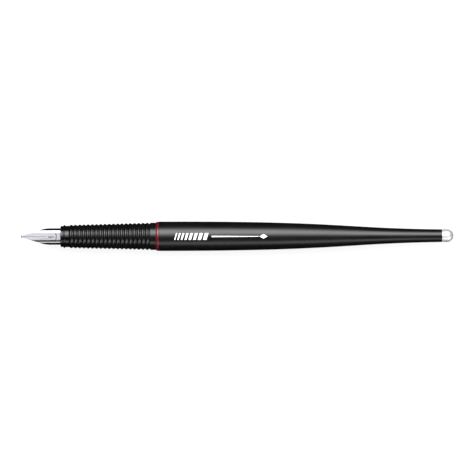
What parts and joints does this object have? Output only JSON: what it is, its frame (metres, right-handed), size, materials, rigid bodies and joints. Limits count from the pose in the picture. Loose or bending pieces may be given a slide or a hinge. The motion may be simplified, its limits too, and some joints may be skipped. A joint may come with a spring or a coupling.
{
  "type": "art pen",
  "caption": "Long-tailed cartridge art pen: ribbed grip, steel nib over a finned feed, screw-off tapered barrel and a piston converter inside.",
  "frame": {"origin": "on the pen's axis, in the middle of the smooth land behind the ribbed grip, where a cap seats", "axes": "+X along the pen towards the tail, -X towards the nib, +Z out of the nib's upper face"},
  "size_m": [0.162, 0.011, 0.011],
  "materials": {
    "nib_steel": "polished and lightly brushed",
    "tipping": "polished",
    "feed_plastic": "matte",
    "housing_plastic": "gloss",
    "grip_plastic": "satin",
    "ring_red": "gloss",
    "barrel_black": "polished with a soft sheen",
    "tail_metal": "satin",
    "clear_plastic": "clear, polished",
    "plug_plastic": "matte",
    "band_metal": "polished",
    "ball_steel": "polished",
    "rod_plastic": "satin",
    "seal_rubber": "matte",
    "knob_plastic": "satin"
  },
  "bodies": {
    "section": {"grip_section": "grip_plastic", "nib_housing": "housing_plastic"},
    "nib_unit": {"nib": "nib_steel", "nib_tipping": "tipping", "feed": "feed_plastic", "capillary_pin": "feed_plastic"},
    "trim_ring": {"trim_ring": "ring_red"},
    "barrel": {"barrel": "barrel_black", "tail_cap": "tail_metal"},
    "converter": {"converter_reservoir": "clear_plastic", "converter_mouth_plug": "plug_plastic", "converter_band": "band_metal", "converter_guide": "plug_plastic", "agitator_ball": "ball_steel"},
    "knob": {"knob_spindle": "rod_plastic", "twist_knob": "knob_plastic", "knob_end_plug": "knob_plastic"},
    "piston": {"piston_rod": "rod_plastic", "piston_head": "rod_plastic", "piston_seal_front": "seal_rubber", "piston_seal_rear": "seal_rubber"}
  },
  "joints": [
    {"name": "nib_draw", "type": "slide", "parent": "section", "child": "nib_unit", "axis": [-1, 0, 0], "range_m": [0, 0.024]},
    {"name": "barrel_draw", "type": "slide", "parent": "section", "child": "trim_ring", "axis": [1, 0, 0], "range_m": [0, 0.075]},
    {"name": "barrel_turn", "type": "hinge", "parent": "trim_ring", "child": "barrel", "pos_m": [0.0022, 0, 0], "axis": [1, 0, 0], "continuous": true},
    {"name": "converter_pull", "type": "slide", "parent": "section", "child": "converter", "axis": [1, 0, 0], "range_m": [0, 0.007]},
    {"name": "knob_turn", "type": "hinge", "parent": "converter", "child": "knob", "pos_m": [0.0228, 0, 0], "axis": [1, 0, 0], "range_deg": [0, 1800]},
    {"name": "piston_travel", "type": "slide", "parent": "converter", "child": "piston", "axis": [-1, 0, 0], "range_m": [0, 0.02]}
  ],
  "couplings": [
    {"joint": "knob_turn", "follows": "piston_travel", "rad_per_m": 1570.8}
  ]
}
